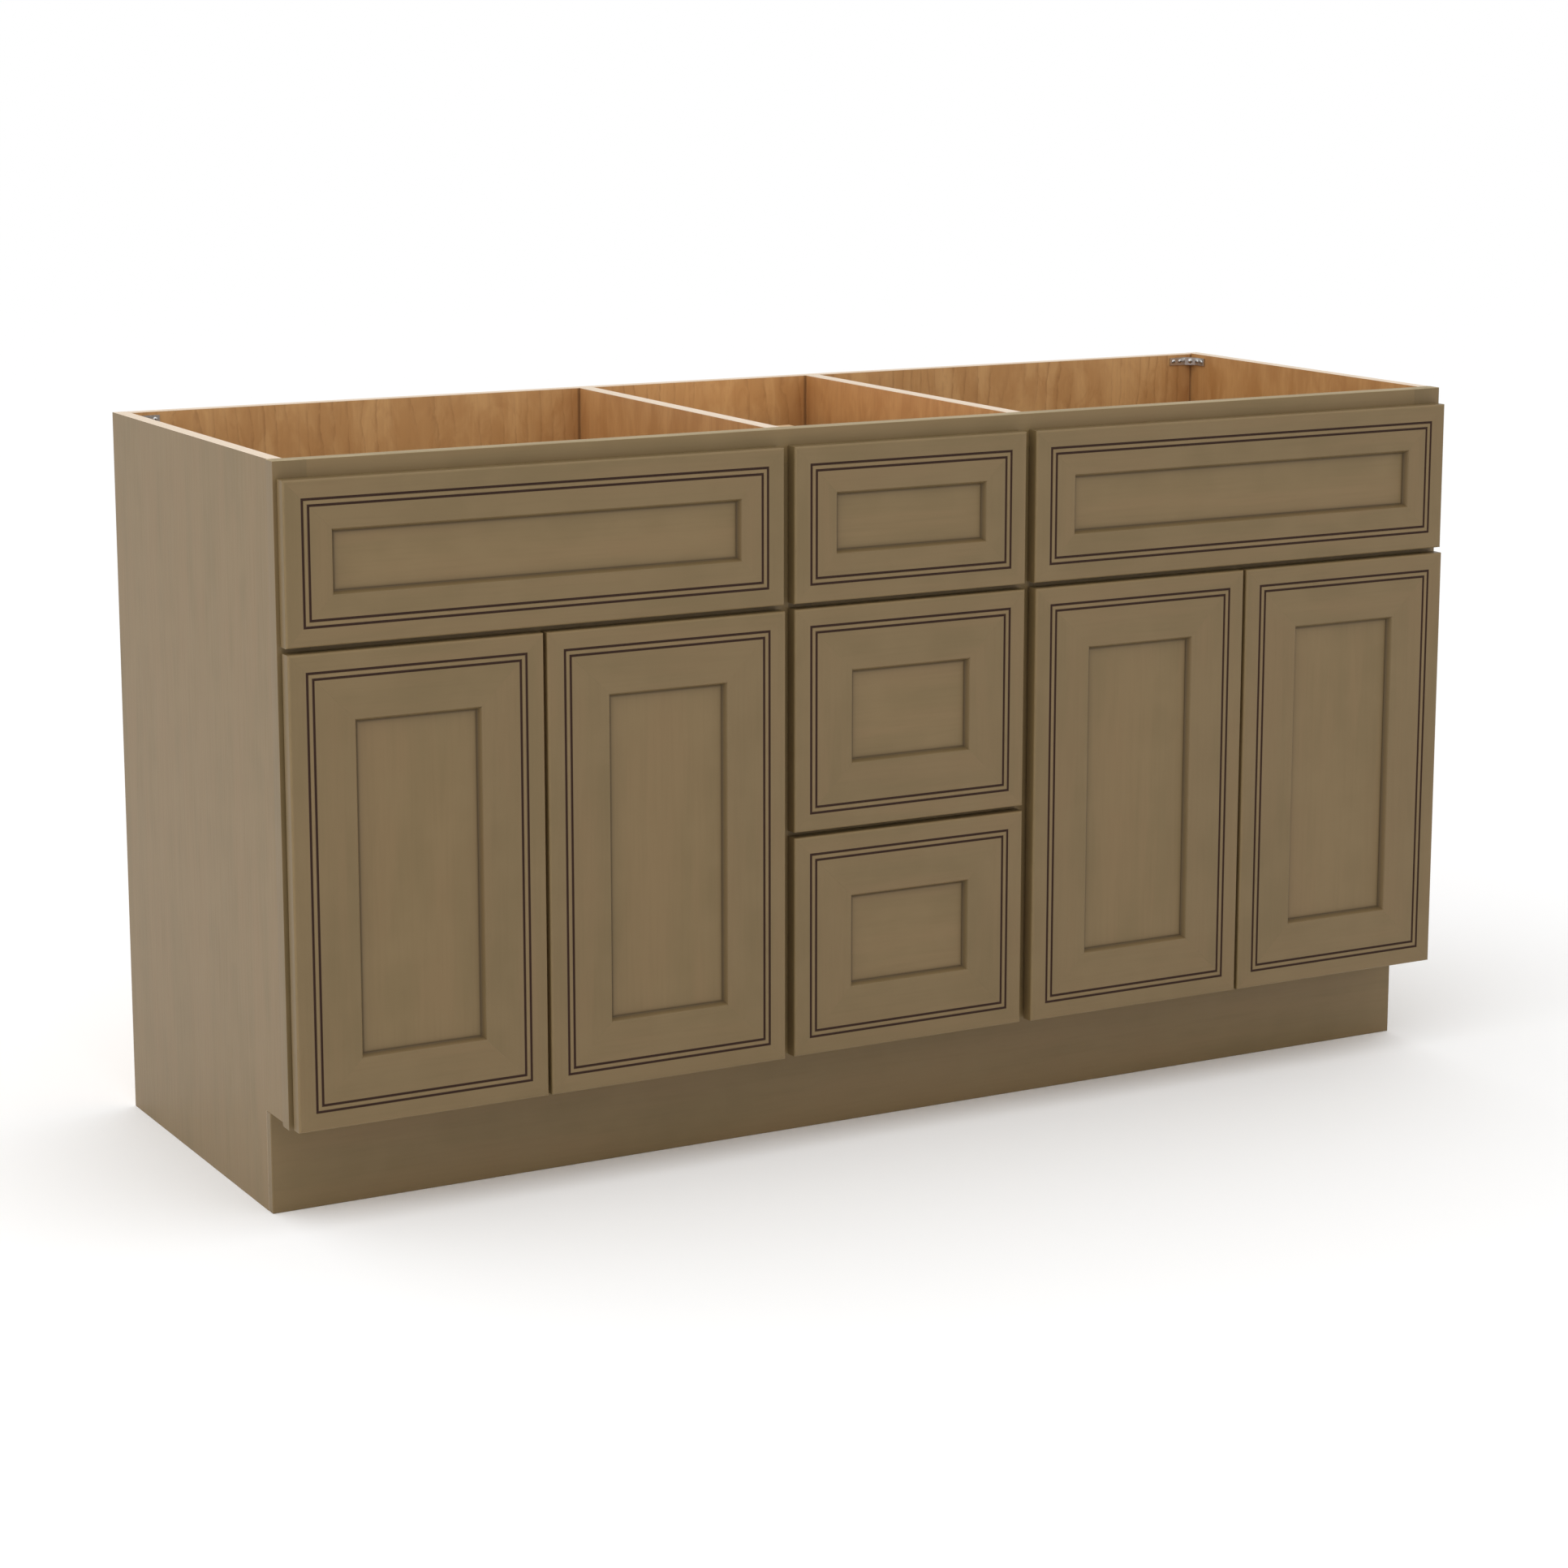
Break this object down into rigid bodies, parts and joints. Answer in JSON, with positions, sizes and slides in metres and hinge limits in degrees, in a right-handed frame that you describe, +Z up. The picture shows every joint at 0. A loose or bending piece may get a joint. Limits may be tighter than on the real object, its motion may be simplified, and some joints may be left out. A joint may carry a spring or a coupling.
{
  "type": "bathroom vanity cabinet",
  "caption": "Bathroom vanity base cabinet with a face frame, hinged doors under fixed false fronts either side of a centre bank of sliding drawers, and an open top.",
  "frame": {"origin": "middle of the cabinet's footprint, on the floor", "axes": "+X to the right as seen from the front, +Y towards the wall behind, +Z up; the doors and drawers face -Y"},
  "size_m": [1.524, 0.5388, 0.835],
  "materials": {
    "stained_maple": "satin olive-brown stain with dark glaze in the grooves",
    "maple_plywood": "clear satin lacquer on amber maple veneer",
    "birch": "clear satin lacquer on pale birch",
    "zinc_plated_steel": "zinc plated, semi-bright"
  },
  "bodies": {
    "cabinet": {"back_panel": "maple_plywood", "bottom_drawer_left_slide": "zinc_plated_steel", "bottom_drawer_right_slide": "zinc_plated_steel", "bottom_panel": "maple_plywood", "bottom_rail": "stained_maple", "left_false_front": "stained_maple", "left_frame_stile": "stained_maple", "left_inner_door_lower_hinge_arm": "zinc_plated_steel", "left_inner_door_upper_hinge_arm": "zinc_plated_steel", "left_mullion": "stained_maple", "left_outer_door_lower_hinge_arm": "zinc_plated_steel", "left_outer_door_upper_hinge_arm": "zinc_plated_steel", "left_partition": "maple_plywood", "left_side_panel": "stained_maple", "left_sink_rail": "stained_maple", "lower_drawer_rail": "stained_maple", "middle_drawer_left_slide": "zinc_plated_steel", "middle_drawer_right_slide": "zinc_plated_steel", "rear_left_corner_bracket": "zinc_plated_steel", "rear_right_corner_bracket": "zinc_plated_steel", "right_false_front": "stained_maple", "right_frame_stile": "stained_maple", "right_inner_door_lower_hinge_arm": "zinc_plated_steel", "right_inner_door_upper_hinge_arm": "zinc_plated_steel", "right_mullion": "stained_maple", "right_outer_door_lower_hinge_arm": "zinc_plated_steel", "right_outer_door_upper_hinge_arm": "zinc_plated_steel", "right_partition": "maple_plywood", "right_side_panel": "stained_maple", "right_sink_rail": "stained_maple", "toe_kick_board": "stained_maple", "top_drawer_left_slide": "zinc_plated_steel", "top_drawer_right_slide": "zinc_plated_steel", "top_rail": "stained_maple", "upper_drawer_rail": "stained_maple"},
    "bottom_drawer": {"bottom_drawer_bottom": "birch", "bottom_drawer_box": "birch", "bottom_drawer_front": "stained_maple"},
    "left_inner_door": {"left_inner_door_frame": "stained_maple", "left_inner_door_lower_hinge_cup": "zinc_plated_steel", "left_inner_door_panel": "stained_maple", "left_inner_door_upper_hinge_cup": "zinc_plated_steel"},
    "left_outer_door": {"left_outer_door_frame": "stained_maple", "left_outer_door_lower_hinge_cup": "zinc_plated_steel", "left_outer_door_panel": "stained_maple", "left_outer_door_upper_hinge_cup": "zinc_plated_steel"},
    "middle_drawer": {"middle_drawer_bottom": "birch", "middle_drawer_box": "birch", "middle_drawer_front": "stained_maple"},
    "right_inner_door": {"right_inner_door_frame": "stained_maple", "right_inner_door_lower_hinge_cup": "zinc_plated_steel", "right_inner_door_panel": "stained_maple", "right_inner_door_upper_hinge_cup": "zinc_plated_steel"},
    "right_outer_door": {"right_outer_door_frame": "stained_maple", "right_outer_door_lower_hinge_cup": "zinc_plated_steel", "right_outer_door_panel": "stained_maple", "right_outer_door_upper_hinge_cup": "zinc_plated_steel"},
    "top_drawer": {"top_drawer_bottom": "birch", "top_drawer_box": "birch", "top_drawer_front": "stained_maple"}
  },
  "joints": [
    {"name": "left_outer_door_hinge", "type": "hinge", "parent": "cabinet", "child": "left_outer_door", "pos_m": [-0.755, -0.26065, 0.3727], "axis": [0, 0, -1], "range_deg": [0, 105]},
    {"name": "left_inner_door_hinge", "type": "hinge", "parent": "cabinet", "child": "left_inner_door", "pos_m": [-0.1686, -0.26065, 0.3727], "axis": [0, 0, 1], "range_deg": [0, 90]},
    {"name": "right_inner_door_hinge", "type": "hinge", "parent": "cabinet", "child": "right_inner_door", "pos_m": [0.1686, -0.26065, 0.3727], "axis": [0, 0, -1], "range_deg": [0, 90]},
    {"name": "right_outer_door_hinge", "type": "hinge", "parent": "cabinet", "child": "right_outer_door", "pos_m": [0.755, -0.26065, 0.3727], "axis": [0, 0, 1], "range_deg": [0, 105]},
    {"name": "top_drawer_slide", "type": "slide", "parent": "cabinet", "child": "top_drawer", "axis": [0, -1, 0], "range_m": [0, 0.34]},
    {"name": "middle_drawer_slide", "type": "slide", "parent": "cabinet", "child": "middle_drawer", "axis": [0, -1, 0], "range_m": [0, 0.34]},
    {"name": "bottom_drawer_slide", "type": "slide", "parent": "cabinet", "child": "bottom_drawer", "axis": [0, -1, 0], "range_m": [0, 0.34]}
  ]
}
